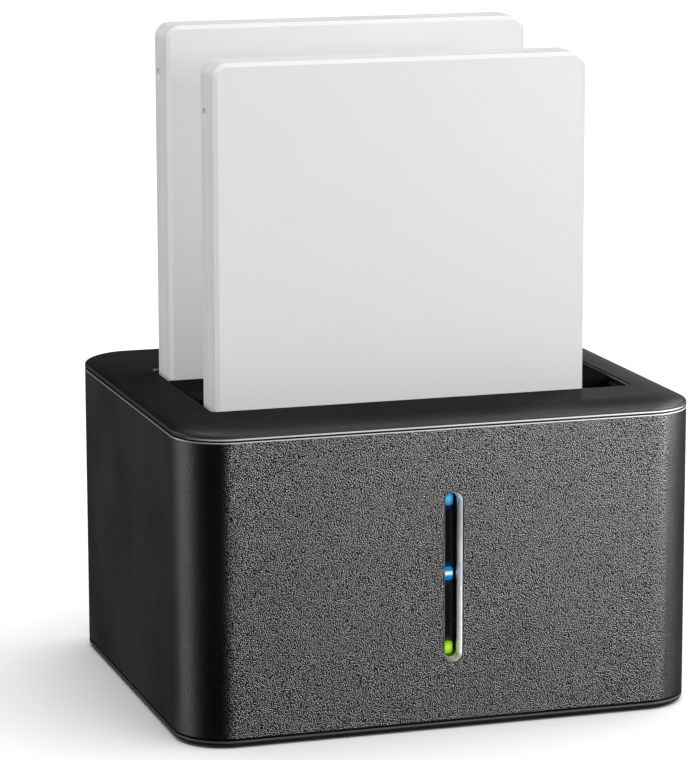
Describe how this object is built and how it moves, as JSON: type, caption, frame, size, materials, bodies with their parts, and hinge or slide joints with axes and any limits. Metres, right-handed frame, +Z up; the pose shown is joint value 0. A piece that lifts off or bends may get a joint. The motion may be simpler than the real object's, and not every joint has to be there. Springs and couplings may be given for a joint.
{
  "type": "hard drive docking station",
  "caption": "Rounded box with a black top cover and an upright light bar, holding two bare 2.5 inch drives that stand in its open bay and lift out.",
  "frame": {"origin": "bottom centre of the casing, on the plane that the rubber feet stand on", "axes": "+X to the right as seen from the front, +Y from the front face towards the back, +Z up along the drives"},
  "size_m": [0.097, 0.083, 0.1233],
  "materials": {
    "body_plastic": "fine textured, dark grey",
    "cover_plastic": "satin black",
    "bay_plastic": "matt black",
    "base_plastic": "matt black",
    "foot_rubber": "matt",
    "screw_steel": "zinc plated",
    "board_green": "solder mask over glass fibre",
    "board_white": "white solder mask",
    "chip_black": "moulded epoxy",
    "coil_grey": "pressed ferrite",
    "can_aluminium": "bright can",
    "crystal_steel": "satin can",
    "cap_ceramic": "fired ceramic, tinned ends",
    "socket_black": "moulded nylon",
    "contact_gold": "gold plated",
    "socket_steel": "nickel plated",
    "insert_blue": "moulded",
    "rocker_plastic": "satin black",
    "bezel_chrome": "mirror",
    "strip_gloss": "polished black",
    "lamp_blue": "clear light pipe, lit blue",
    "lamp_pale_blue": "clear light pipe, lit pale blue",
    "lamp_green": "clear light pipe, lit yellow green",
    "lamp_chip": "phosphor in a white package",
    "drive_white": "fine satin silver white",
    "drive_socket_plastic": "moulded"
  },
  "bodies": {
    "dock": {"base_plate": "base_plastic", "rubber_feet": "foot_rubber", "base_screws": "screw_steel", "body_shell": "body_plastic", "top_cover": "cover_plastic", "cover_screws": "screw_steel", "bay_insert": "bay_plastic", "bay_screws": "screw_steel", "main_board": "board_green", "board_screws": "screw_steel", "bridge_chip": "chip_black", "regulator_chips": "chip_black", "power_coils": "coil_grey", "capacitor_cans": "can_aluminium", "clock_crystal": "crystal_steel", "chip_capacitors": "cap_ceramic", "light_bar_bezel": "bezel_chrome", "light_bar_strip": "strip_gloss", "upper_lamp": "lamp_blue", "middle_lamp": "lamp_pale_blue", "lower_lamp": "lamp_green", "lamp_chips": "lamp_chip", "lamp_board": "board_white", "board_header": "socket_black", "header_pins": "contact_gold", "data_socket_shell": "socket_steel", "data_socket_insert": "insert_blue", "data_socket_contacts": "contact_gold", "power_inlet_body": "socket_black", "power_inlet_pin": "socket_steel", "power_switch_frame": "socket_black", "switch_terminals": "socket_steel", "front_drive_socket": "socket_black", "front_socket_contacts": "contact_gold", "rear_drive_socket": "socket_black", "rear_socket_contacts": "contact_gold"},
    "front_drive": {"front_drive_lid": "drive_white", "front_drive_tray": "drive_white", "front_drive_board": "board_green", "front_drive_memory": "chip_black", "front_drive_controller": "chip_black", "front_drive_plug": "drive_socket_plastic", "front_plug_contacts": "contact_gold"},
    "rear_drive": {"rear_drive_lid": "drive_white", "rear_drive_tray": "drive_white", "rear_drive_board": "board_green", "rear_drive_memory": "chip_black", "rear_drive_controller": "chip_black", "rear_drive_plug": "drive_socket_plastic", "rear_plug_contacts": "contact_gold"},
    "switch_rocker": {"power_rocker": "rocker_plastic"}
  },
  "joints": [
    {"name": "front_drive_lift", "type": "slide", "parent": "dock", "child": "front_drive", "axis": [0, 0, 1], "range_m": [0, 0.045]},
    {"name": "rear_drive_lift", "type": "slide", "parent": "dock", "child": "rear_drive", "axis": [0, 0, 1], "range_m": [0, 0.045]},
    {"name": "power_rocker_hinge", "type": "hinge", "parent": "dock", "child": "switch_rocker", "pos_m": [0, 0.0367, 0.0194], "axis": [0, 0, -1], "range_deg": [0, 20]}
  ]
}
